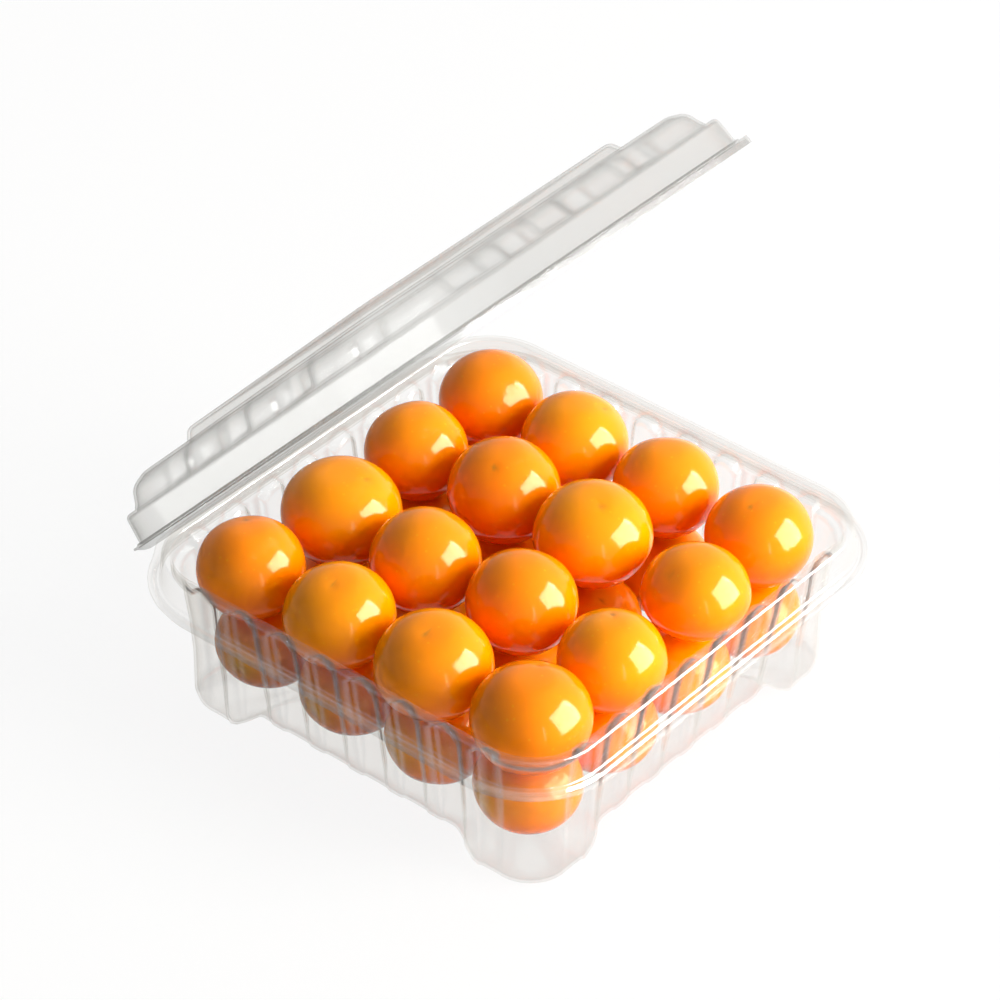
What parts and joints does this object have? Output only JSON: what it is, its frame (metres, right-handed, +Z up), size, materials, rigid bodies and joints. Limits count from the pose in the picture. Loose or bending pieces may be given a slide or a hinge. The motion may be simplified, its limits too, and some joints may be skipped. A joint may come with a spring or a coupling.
{
  "type": "plastic clamshell pack",
  "caption": "Clear hinged clamshell pack with fluted walls and corner feet, lid standing open, filled with two layers of small round orange fruit.",
  "frame": {"origin": "centre of the four feet, on the plane the pack stands on", "axes": "+Z up, +X along the hinge, +Y from the opening side towards the hinge"},
  "size_m": [0.1252, 0.1245, 0.1259],
  "materials": {
    "clear_sheet": "clear glossy formed sheet",
    "fruit": "smooth glossy fruit skin"
  },
  "bodies": {
    "tray": {"base_tray": "clear_sheet", "lower_fruit_01": "fruit", "lower_fruit_02": "fruit", "lower_fruit_03": "fruit", "lower_fruit_04": "fruit", "lower_fruit_05": "fruit", "lower_fruit_06": "fruit", "lower_fruit_07": "fruit", "lower_fruit_08": "fruit", "lower_fruit_09": "fruit", "lower_fruit_10": "fruit", "lower_fruit_11": "fruit", "lower_fruit_12": "fruit", "lower_fruit_13": "fruit", "lower_fruit_14": "fruit", "lower_fruit_15": "fruit", "lower_fruit_16": "fruit", "upper_fruit_01": "fruit", "upper_fruit_02": "fruit", "upper_fruit_03": "fruit", "upper_fruit_04": "fruit", "upper_fruit_05": "fruit", "upper_fruit_06": "fruit", "upper_fruit_07": "fruit", "upper_fruit_08": "fruit", "upper_fruit_09": "fruit", "upper_fruit_10": "fruit", "upper_fruit_11": "fruit", "upper_fruit_12": "fruit", "upper_fruit_13": "fruit", "upper_fruit_14": "fruit", "upper_fruit_15": "fruit", "upper_fruit_16": "fruit"},
    "lid": {"hinged_lid": "clear_sheet"}
  },
  "joints": [
    {"name": "lid_hinge", "type": "hinge", "parent": "tray", "child": "lid", "pos_m": [0, 0.06225, 0.03275], "axis": [-1, 0, 0], "range_deg": [-47.5, 132.5]}
  ]
}
